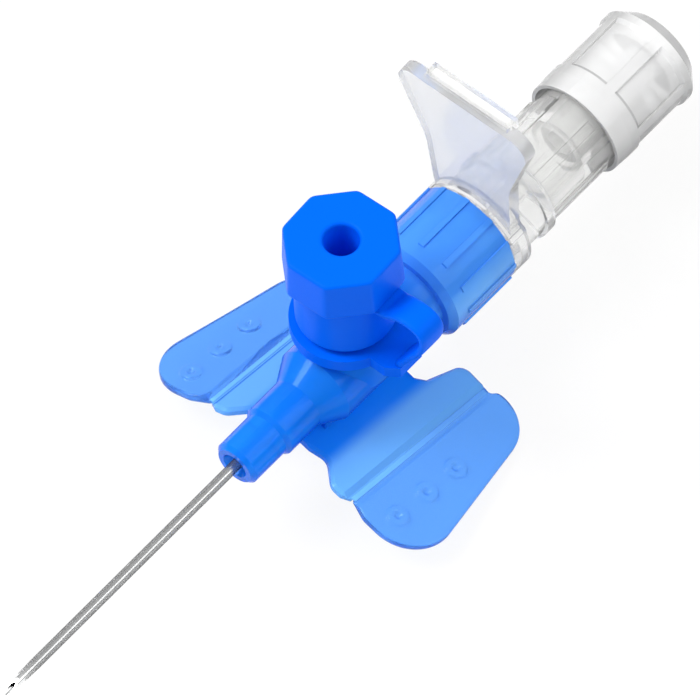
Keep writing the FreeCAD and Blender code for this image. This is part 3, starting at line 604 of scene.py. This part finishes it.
def rounded_outline(corners: tuple[Point, ...], pitch: float, fewest: int = 4) -> list[Flat]:
    """Round the corners of an outline and divide it into short steps.

    Args:
        corners: Place and rounding radius of each corner.
        pitch: Longest step between neighbouring points.
        fewest: Fewest steps round a corner.

    Returns:
        Points of the closed outline.
    """
    path: list[Vector] = []
    count = len(corners)
    for index, (across, along, radius) in enumerate(corners):
        here = Vector((across, along))
        before = (Vector(corners[index - 1][:2]) - here).normalized()
        after = (Vector(corners[(index + 1) % count][:2]) - here).normalized()
        half = before.angle(after) / 2
        if radius <= 0.0:
            path.append(here)
            continue
        middle = here + (before + after).normalized() * radius / math.sin(half)
        start = here + before * radius / math.tan(half)
        end = here + after * radius / math.tan(half)
        steps = max(fewest, math.ceil(radius * (math.pi - 2 * half) / pitch))
        chord = (end - start) / 2
        spread = math.pi / 2 - half
        for step in range(steps + 1):
            turn = spread * (2.0 * step / steps - 1.0)
            path.append(middle + (here - middle).normalized() * radius * math.cos(turn)
                        + chord.normalized() * radius * math.sin(turn))
    points: list[Flat] = []
    for index, here in enumerate(path):
        ahead = path[(index + 1) % len(path)]
        steps = max(1, math.ceil((ahead - here).length / pitch))
        points += [tuple(here.lerp(ahead, step / steps)) for step in range(steps)]
    return points


def smooth_step(low: float, high: float, value: float) -> float:
    """Rise softly from 0 to 1.

    Args:
        low: Value where the rise starts.
        high: Value where it ends.
        value: The value.

    Returns:
        The level there.
    """
    share = min(1.0, max(0.0, (value - low) / (high - low)))
    return share * share * (3.0 - 2.0 * share)


@dataclass(frozen=True)
class WingPanel:
    """Outer panel of a wing: soft edges, thin strip at the fold and three dimpled bosses."""

    corners: tuple[Point, ...] = (
        (-7.95, 7.63, 0.0), (-8.55, 9.3, 1.4), (-8.55, 15.41, 3.9),
        (8.62, 12.06, 3.6), (8.62, 8.7, 1.4), (8.12, 7.63, 0.0))
    thickness: float = 0.65
    edge_round: float = 0.3
    edge_fall: float = 0.75
    fold_span: float = 7.6
    fold_gap: float = 0.03
    fold_depth: float = 0.35
    fold_floor: float = 7.97
    fold_top: float = 8.45
    under_gap: float = 0.07
    middle: Flat = (0.0, 10.6)
    boss_span: float = 10.92
    boss_places: tuple[float, ...] = (-6.4, -2.93, 0.54)
    boss_radius: float = 1.02
    boss_crown: float = 0.8
    boss_height: float = 0.28
    dent_radius: float = 0.5
    dent_share: float = 1.2
    pitch: float = 0.13
    edge_rings: tuple[float, ...] = (0.0, 0.03, 0.08, 0.15, 0.23, 0.32)
    face_rings: int = 96
    under_rings: tuple[Flat, ...] = ((0.0, 0.1), (0.03, 0.03), (0.1, 0.0), (1.5, 0.0))

    def inward(self, here: Flat, inset: float) -> Flat:
        """Move a point of the outline towards the panel's middle.

        Args:
            here: The point.
            inset: Distance that it moves.

        Returns:
            The moved point.
        """
        share = inset / math.dist(here, self.middle)
        return (here[0] + (self.middle[0] - here[0]) * share,
                here[1] + (self.middle[1] - here[1]) * share)

    def edge_distance(self, place: Flat, outline: list[Flat]) -> float:
        """Measure how far a point lies inside the free edge.

        Args:
            place: The point.
            outline: Points of the panel's outline.

        Returns:
            The distance to the nearest point of the edge, without the fold.
        """
        return min(math.dist(place, edge) for edge in outline
                   if edge[1] > self.fold_span + 2 * self.fold_gap)

    def height(self, along: float, span: float, inset: float) -> float:
        """Give the height of the upper face.

        Args:
            along: Distance back from the port.
            span: Distance out from the middle.
            inset: Distance in from the free edge.

        Returns:
            The height in millimetres.
        """
        level = self.fold_depth * (smooth_step(self.fold_floor, self.fold_top, span) - 1.0)
        if inset < self.edge_round:
            share = 1.0 - inset / self.edge_round
            level -= self.edge_round * self.edge_fall * (1.0 - math.sqrt(1.0 - share * share))
        for place in self.boss_places:
            reach = math.hypot(along - place, span - self.boss_span)
            if reach < self.boss_radius:
                rise = 1.0 - smooth_step(self.boss_radius * self.boss_crown,
                                         self.boss_radius, reach)
                dent = 1.0 - smooth_step(0.0, self.dent_radius, reach)
                level += self.boss_height * (rise - self.dent_share * dent)
        return level

    def build(self, plane: WingPlane, name: str, material: bpy.types.Material,
              body: Body) -> bpy.types.Object:
        """Make the panel.

        Args:
            plane: Plane of the wing.
            name: Name of the piece.
            material: Its finish.
            body: The body it rides on.

        Returns:
            The new piece.
        """
        outline = rounded_outline(self.corners, self.pitch)
        last = self.edge_rings[-1]
        shares = [step / self.face_rings for step in range(1, self.face_rings)]
        upper = []
        for index in range(len(self.edge_rings) + len(shares)):
            ring = []
            for here in outline:
                length = math.dist(here, self.middle)
                inset = (self.edge_rings[index] if index < len(self.edge_rings)
                         else last + (length - last) * shares[index - len(self.edge_rings)])
                place = self.inward(here, inset)
                edge = (self.edge_distance(place, outline) if inset < 2 * self.edge_round
                        else self.edge_round)
                ring.append(plane.point(*place, self.height(*place, edge)))
            upper.append(ring)
        hinge_side = self.fold_span + self.fold_gap + self.under_gap
        lower = []
        for inset, rise in self.under_rings:
            ring = []
            for here in outline:
                along, span = self.inward(here, inset)
                ring.append(plane.point(along, max(span, hinge_side), rise - self.thickness))
            lower.append(ring)
        points, faces = lofted(list(reversed(upper)) + lower)
        return new_piece(name, points, faces, material, body)


@dataclass(frozen=True)
class FoldWeb:
    """Thin web that closes the fold line between a wing and the hub."""

    front: float = -7.9
    rear: float = 8.07
    span: float = 7.6
    half_width: float = 0.22
    height: float = -0.4
    thickness: float = 0.09
    length_steps: int = 32
    width_steps: int = 8

    def build(self, plane: WingPlane, name: str, material: bpy.types.Material,
              body: Body) -> bpy.types.Object:
        """Make the web and let it bend with the fold.

        Args:
            plane: Plane of the wing.
            name: Name of the piece.
            material: Its finish.
            body: The wing's body; not used.

        Returns:
            The new piece.
        """
        spans = [self.span + self.half_width * (2.0 * step / self.width_steps - 1.0)
                 for step in range(self.width_steps + 1)]
        outline = ([(span, self.height + self.thickness) for span in spans]
                   + [(span, self.height) for span in reversed(spans)])
        rings = []
        for step in range(self.length_steps + 1):
            along = self.front + (self.rear - self.front) * step / self.length_steps
            rings.append([plane.point(along, span, height) for span, height in outline])
        points, faces = lofted(rings)
        item = new_piece(name, points, faces, material, None)
        tuple(plane.point(0.0, self.span - self.half_width, self.height))
        tuple(plane.point(0.0, self.span + self.half_width, self.height))
        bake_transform(item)
        return item


@dataclass
class Wings:
    """The two outer wing panels and the webs at their folds."""

    finishes: Finishes
    panel: WingPanel = WingPanel()
    web: FoldWeb = FoldWeb()

    def build(self) -> None:
        """Build both wings."""
        for side, node, body in ((1, "wing_left", Body.LEFT_WING),
                                 (-1, "wing_right", Body.RIGHT_WING)):
            plane = WingPlane(side)
            piece = self.panel.build(plane, node + "_panel", self.finishes.wing, body)
            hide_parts(node)
            web = self.web.build(plane, node + "_web", self.finishes.web, body)


@dataclass(frozen=True)
class CapForm:
    """Port cap: octagonal head with soft edges, skirt, stopper and blind hole, in millimetres."""

    port: float = 13.6
    sides: int = 8
    turn: float = 25.0
    head_radius: float = 4.97
    draft: float = 2.4
    bottom: float = 11.73
    top: float = 15.74
    edge_round: float = 0.3
    corner_sharpness: float = 46.0
    hole: float = 1.42
    hole_floor: float = 10.3
    hole_round: float = 0.35
    skirt: float = 4.0
    skirt_bore: float = 3.32
    skirt_bottom: float = 6.04
    ceiling: float = 12.9
    stopper: float = 1.95
    stopper_bottom: float = 9.2
    lip_round: float = 0.12
    lip_cut: float = 0.035
    side_steps: int = 16
    round_steps: int = 6

    def middles(self) -> list[float]:
        """Find the sides of the head.

        Returns:
            Direction of each side's middle.
        """
        return [math.radians(self.turn + 360.0 * (side + 0.5) / self.sides)
                for side in range(self.sides)]

    def angles(self) -> list[float]:
        """Find the points of a ring, which lie closer together near the corners.

        Returns:
            Direction of each point.
        """
        shares = [2.0 * (step + 0.5) / self.side_steps - 1.0 for step in range(self.side_steps)]
        return [middle + math.pi / self.sides * math.sin(share * math.pi / 2)
                for middle in self.middles() for share in shares]

    def ring(self, radius: float, height: float, octagonal: bool) -> list[Vector]:
        """Make one ring of the cap.

        Args:
            radius: Corner radius of an octagonal ring, or radius of a round one.
            height: Its height.
            octagonal: Whether it is octagonal.

        Returns:
            Its points in metres.
        """
        points = []
        flat = radius * math.cos(math.pi / self.sides)
        for angle in self.angles():
            reach = radius
            if octagonal:
                total = sum(max(0.0, math.cos(angle - middle)) ** self.corner_sharpness
                            for middle in self.middles())
                reach = flat * total ** (-1.0 / self.corner_sharpness)
            points.append(Vector((self.port + reach * math.cos(angle),
                                  reach * math.sin(angle), height)) * MM)
        return points

    def profile(self) -> list[tuple[float, float, bool]]:
        """List the cap's rings from the hole's floor, over the head, to the stopper's foot.

        Returns:
            Radius and height of each ring, and whether it is octagonal. Rings that lie close
            to a rounding keep the flat beside it flat.
        """
        turns = [math.radians(90.0 * step / self.round_steps)
                 for step in range(self.round_steps + 1)]
        lip = self.top - self.hole_round
        rows = [(self.hole * 0.5, self.hole_floor, False),
                (self.hole - 0.12, self.hole_floor, False),
                (self.hole - 0.03, self.hole_floor + 0.03, False),
                (self.hole, self.hole_floor + 0.12, False),
                (self.hole, lip - 0.2, False)]
        rows += [(self.hole + self.hole_round * (1.0 - math.cos(turn)),
                  lip + self.hole_round * math.sin(turn), False) for turn in turns]
        narrow = self.head_radius - (self.top - self.bottom) * math.tan(math.radians(self.draft))
        rows += [(self.hole + self.hole_round + 0.15, self.top, False),
                 (narrow - self.edge_round - 0.2, self.top, True)]
        rows += [(narrow - self.edge_round * (1.0 - math.sin(turn)),
                  self.top - self.edge_round * (1.0 - math.cos(turn)), True) for turn in turns]
        rows += [(narrow + 0.01, self.top - self.edge_round - 0.2, True),
                 (self.head_radius, self.bottom + self.lip_round + 0.1, True),
                 (self.head_radius, self.bottom + self.lip_round, True),
                 (self.head_radius - self.lip_cut, self.bottom + self.lip_cut, True),
                 (self.head_radius - self.lip_round, self.bottom, True),
                 (self.skirt + 0.25, self.bottom, True),
                 (self.skirt + 0.05, self.bottom, False),
                 (self.skirt, self.bottom - 0.05, False),
                 (self.skirt, self.bottom - 0.3, False),
                 (self.skirt, self.skirt_bottom + 0.3, False),
                 (self.skirt, self.skirt_bottom + self.lip_round, False),
                 (self.skirt - self.lip_cut, self.skirt_bottom + self.lip_cut, False),
                 (self.skirt - self.lip_round, self.skirt_bottom, False),
                 (self.skirt_bore + self.lip_round, self.skirt_bottom, False),
                 (self.skirt_bore, self.skirt_bottom + self.lip_round, False),
                 (self.skirt_bore, self.skirt_bottom + 0.4, False),
                 (self.skirt_bore, self.ceiling - 0.1, False),
                 (self.skirt_bore - 0.1, self.ceiling, False),
                 (self.stopper + 0.1, self.ceiling, False),
                 (self.stopper, self.ceiling - 0.1, False),
                 (self.stopper, self.stopper_bottom + 0.3, False),
                 (self.stopper - 0.05, self.stopper_bottom + 0.1, False),
                 (self.stopper - 0.25, self.stopper_bottom, False),
                 (self.stopper * 0.5, self.stopper_bottom, False)]
        return rows

    def build(self, material: bpy.types.Material) -> bpy.types.Object:
        """Make the cap.

        Args:
            material: Its finish.

        Returns:
            The new piece.
        """
        points, faces = lofted([self.ring(*row) for row in self.profile()])
        return new_piece("port_cap_body", points, faces, material, Body.CAP)


@dataclass(frozen=True)
class StrapForm:
    """Soft strap from the collar's lug, out and over to the cap, in millimetres."""

    port: float = 13.6
    route: tuple[Flat, ...] = (
        (-4.03, 11.4), (-4.6, 11.4), (-5.2, 11.47), (-5.9, 11.8), (-6.7, 12.05), (-7.6, 12.08),
        (-8.35, 11.85), (-8.82, 11.2), (-8.8, 10.2), (-8.45, 9.2), (-7.75, 8.0), (-6.95, 6.65),
        (-6.2, 5.43))
    widths: tuple[float, ...] = (
        2.9, 2.9, 2.8, 2.6, 2.5, 2.5, 2.5, 2.5, 2.5, 2.5, 2.5, 2.5, 2.5)
    thickness: float = 0.62
    width_fullness: float = 0.3
    depth_fullness: float = 0.5
    collar_end: Flat = (-6.3, 5.9)
    cap_end: Flat = (-6.3, 11.2)
    steps: int = 6
    ring_steps: int = 28

    def stations(self) -> list[tuple[Vector, Vector, float]]:
        """Smooth the route.

        Returns:
            Place, direction and width of each ring.
        """
        places = [Vector((0.0, across, height)) for across, height in self.route]
        found = []
        for index in range(len(places) - 1):
            before = places[max(0, index - 1)]
            here, ahead = places[index], places[index + 1]
            after = places[min(len(places) - 1, index + 2)]
            for step in range(self.steps + (index == len(places) - 2)):
                share = step / self.steps
                square, cube = share * share, share ** 3
                place = 0.5 * (2.0 * here + (ahead - before) * share
                               + (2.0 * before - 5.0 * here + 4.0 * ahead - after) * square
                               + (3.0 * here - before - 3.0 * ahead + after) * cube)
                run = 0.5 * ((ahead - before)
                             + 2.0 * (2.0 * before - 5.0 * here + 4.0 * ahead - after) * share
                             + 3.0 * (3.0 * here - before - 3.0 * ahead + after) * square)
                width = self.widths[index] + (self.widths[index + 1] - self.widths[index]) * share
                found.append((place, run.normalized(), width))
        return found

    def build(self, material: bpy.types.Material) -> bpy.types.Object:
        """Make the strap, which runs between the collar and the cap.

        Args:
            material: Its finish.

        Returns:
            The new piece.
        """
        rings = []
        for place, run, width in self.stations():
            normal = Vector((0.0, -run.z, run.y))
            ring = []
            for step in range(self.ring_steps):
                angle = 2.0 * math.pi * step / self.ring_steps
                across = math.copysign(abs(math.cos(angle)) ** self.width_fullness,
                                       math.cos(angle))
                deep = math.copysign(abs(math.sin(angle)) ** self.depth_fullness,
                                     math.sin(angle))
                point = (place + Vector((self.port + across * width / 2, 0.0, 0.0))
                         + normal * deep * self.thickness / 2)
                ring.append(point * MM)
            rings.append(ring)
        points, faces = lofted(rings)
        item = new_piece("cap_strap_band", points, faces, material, None)
        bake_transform(item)
        return item


@dataclass
class PortCap:
    """Cap, strap and collar of the injection port."""

    finishes: Finishes
    cap: CapForm = CapForm()
    strap: StrapForm = StrapForm()

    def build(self) -> None:
        """Build the cap and the strap, and dress the collar."""
        cap = self.cap.build(self.finishes.cap)
        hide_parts("port_cap")
        strap = self.strap.build(self.finishes.cap)
        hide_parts("cap_strap")
        dress("cap_collar", self.finishes.cap)


@dataclass
class NeedleAssembly:
    """Steel needle in its clear hub."""

    finishes: Finishes

    def build(self) -> None:
        """Dress the needle and its hub."""
        dress("needle", self.finishes.steel)
        dress("needle_hub", self.finishes.clear)


@dataclass
class FlashbackPlug:
    """Fluted plug with its filter."""

    finishes: Finishes

    def build(self) -> None:
        """Dress the plug and the filter."""
        dress("flashback_plug", self.finishes.milky)
        dress("vent_filter", self.finishes.paper)


@dataclass(frozen=True)
class Lamp:
    """Soft square lamp, in metres and watts."""

    name: str
    place: Point
    size: float
    power: float

    def build(self, target: Vector) -> None:
        """Hang the lamp.

        Args:
            target: The point that it is aimed at.
        """
        data = bpy.data.lights.new(self.name, "AREA")
        data.shape = "SQUARE"
        data.size = self.size
        data.energy = self.power
        item = bpy.data.objects.new(self.name, data)
        bpy.context.scene.collection.objects.link(item)
        aim = (target - Vector(self.place)).to_track_quat("-Z", "Y")
        item.matrix_world = Matrix.Translation(self.place) @ aim.to_matrix().to_4x4()


@dataclass(frozen=True)
class Studio:
    """Floor, soft lamps, white surroundings and a far camera, aimed at a point in millimetres.

    The camera's clip distances and the floor's reach are in metres.
    """

    target: Point = (13.770, 0.1086, 0.1322)
    right: Point = (0.6505, -0.7586, -0.0376)
    up: Point = (0.6451, 0.5257, 0.5545)
    toward: Point = (-0.4009, -0.385, 0.8313)
    distance: float = 2000.0
    pixels_per_mm: float = 12.92
    frame_pixels: float = 700.0
    sensor: float = 36.0
    near_clip: float = 0.1
    far_clip: float = 20.0
    floor_gap: float = 0.05
    floor_reach: float = 3.0
    floor_tone: float = 0.9
    floor_roughness: float = 0.9
    floor_glow: float = 0.9
    horizon: float = 0.1
    zenith: float = 0.75
    horizon_light: float = 0.15
    sky_light: float = 0.95
    lamps: tuple[Lamp, ...] = (Lamp("key_lamp", (-0.25, 0.35, 0.6), 0.35, 5.0),
                               Lamp("fill_lamp", (0.3, -0.5, 0.45), 0.5, 1.8))

    def build(self) -> None:
        """Make the whole studio."""
        self.camera()
        self.floor()
        for lamp in self.lamps:
            lamp.build(Vector(self.target) * MM)
        self.surroundings()

    def camera(self) -> None:
        """Set the camera at the photograph's angle."""
        data = bpy.data.cameras.new("camera")
        data.sensor_width = self.sensor
        data.lens = self.sensor * self.distance * self.pixels_per_mm / self.frame_pixels
        data.clip_start = self.near_clip
        data.clip_end = self.far_clip
        item = bpy.data.objects.new("camera", data)
        bpy.context.scene.collection.objects.link(item)
        axes = Matrix((self.right, self.up, self.toward)).transposed()
        place = Vector(self.target) + Vector(self.toward) * self.distance
        item.matrix_world = Matrix.Translation(place * MM) @ axes.to_4x4()
        bpy.context.scene.camera = item

    @staticmethod
    def direct_rays(tree: bpy.types.NodeTree) -> bpy.types.NodeSocket:
        """Tell rays that see a surface directly or through clear plastic from all others.

        Args:
            tree: Node tree of the surface.

        Returns:
            1 for such a ray, 0 for another.
        """
        path = placed(tree, "ShaderNodeLightPath", {}).outputs
        return placed(tree, "ShaderNodeMath", {
            0: path["Is Camera Ray"], 1: path["Is Transmission Ray"]},
            operation="MAXIMUM").outputs["Value"]

    def floor(self) -> None:
        """Lay a pale floor that renders white and keeps the shadow."""
        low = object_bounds()[0][2] - self.floor_gap * MM
        reach = self.floor_reach
        mesh = bpy.data.meshes.new("floor")
        mesh.from_pydata([(-reach, -reach, low), (reach, -reach, low),
                          (reach, reach, low), (-reach, reach, low)], [], [(0, 1, 2, 3)])
        item = bpy.data.objects.new("floor", mesh)
        bpy.context.scene.collection.objects.link(item)
        material, tree = new_material("pale floor")
        skin = placed(tree, "ShaderNodeBsdfPrincipled", {
            "Base Color": rgba((self.floor_tone,) * 3), "Roughness": self.floor_roughness})
        glow = placed(tree, "ShaderNodeEmission", {"Color": rgba((1.0, 1.0, 1.0))})
        share = placed(tree, "ShaderNodeMath", {0: self.direct_rays(tree), 1: self.floor_glow},
                       operation="MULTIPLY")
        mix = placed(tree, "ShaderNodeMixShader", {
            "Fac": share.outputs["Value"], 1: skin.outputs["BSDF"], 2: glow.outputs["Emission"]})
        placed(tree, "ShaderNodeOutputMaterial", {"Surface": mix.outputs["Shader"]})
        mesh.materials.append(material)
        item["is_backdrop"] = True

    def surroundings(self) -> None:
        """Surround the object with white that lights it from above."""
        world = bpy.data.worlds.new("white room")
        bpy.context.scene.world = world
        world.use_nodes = True
        tree = world.node_tree
        tree.nodes.clear()
        place = placed(tree, "ShaderNodeTexCoord", {}).outputs["Generated"]
        rise = placed(tree, "ShaderNodeSeparateXYZ", {"Vector": place}).outputs["Z"]
        strength = eased(tree, rise, self.horizon, self.zenith, self.horizon_light,
                         self.sky_light)
        light = placed(tree, "ShaderNodeBackground", {"Strength": strength})
        seen = placed(tree, "ShaderNodeBackground", {"Color": rgba((1.0, 1.0, 1.0))})
        mix = placed(tree, "ShaderNodeMixShader", {
            "Fac": self.direct_rays(tree), 1: light.outputs["Background"],
            2: seen.outputs["Background"]})
        placed(tree, "ShaderNodeOutputWorld", {"Surface": mix.outputs["Shader"]})


def main() -> None:
    """Build every piece in order and report it."""
    logging.basicConfig(level=logging.INFO, format="%(name)s %(message)s")
    scene = bpy.context.scene
    scene.view_settings.view_transform = "Standard"
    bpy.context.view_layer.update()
    finishes = Finishes()
    CatheterHubAssembly(finishes).build()
    Wings(finishes).build()
    PortCap(finishes).build()
    NeedleAssembly(finishes).build()
    FlashbackPlug(finishes).build()
    Studio().build()


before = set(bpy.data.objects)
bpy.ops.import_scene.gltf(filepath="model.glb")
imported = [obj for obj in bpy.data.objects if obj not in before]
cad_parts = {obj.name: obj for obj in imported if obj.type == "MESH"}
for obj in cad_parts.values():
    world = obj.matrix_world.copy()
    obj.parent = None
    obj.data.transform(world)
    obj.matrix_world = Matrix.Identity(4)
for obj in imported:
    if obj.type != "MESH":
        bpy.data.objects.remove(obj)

if __name__ == "__main__":
    main()
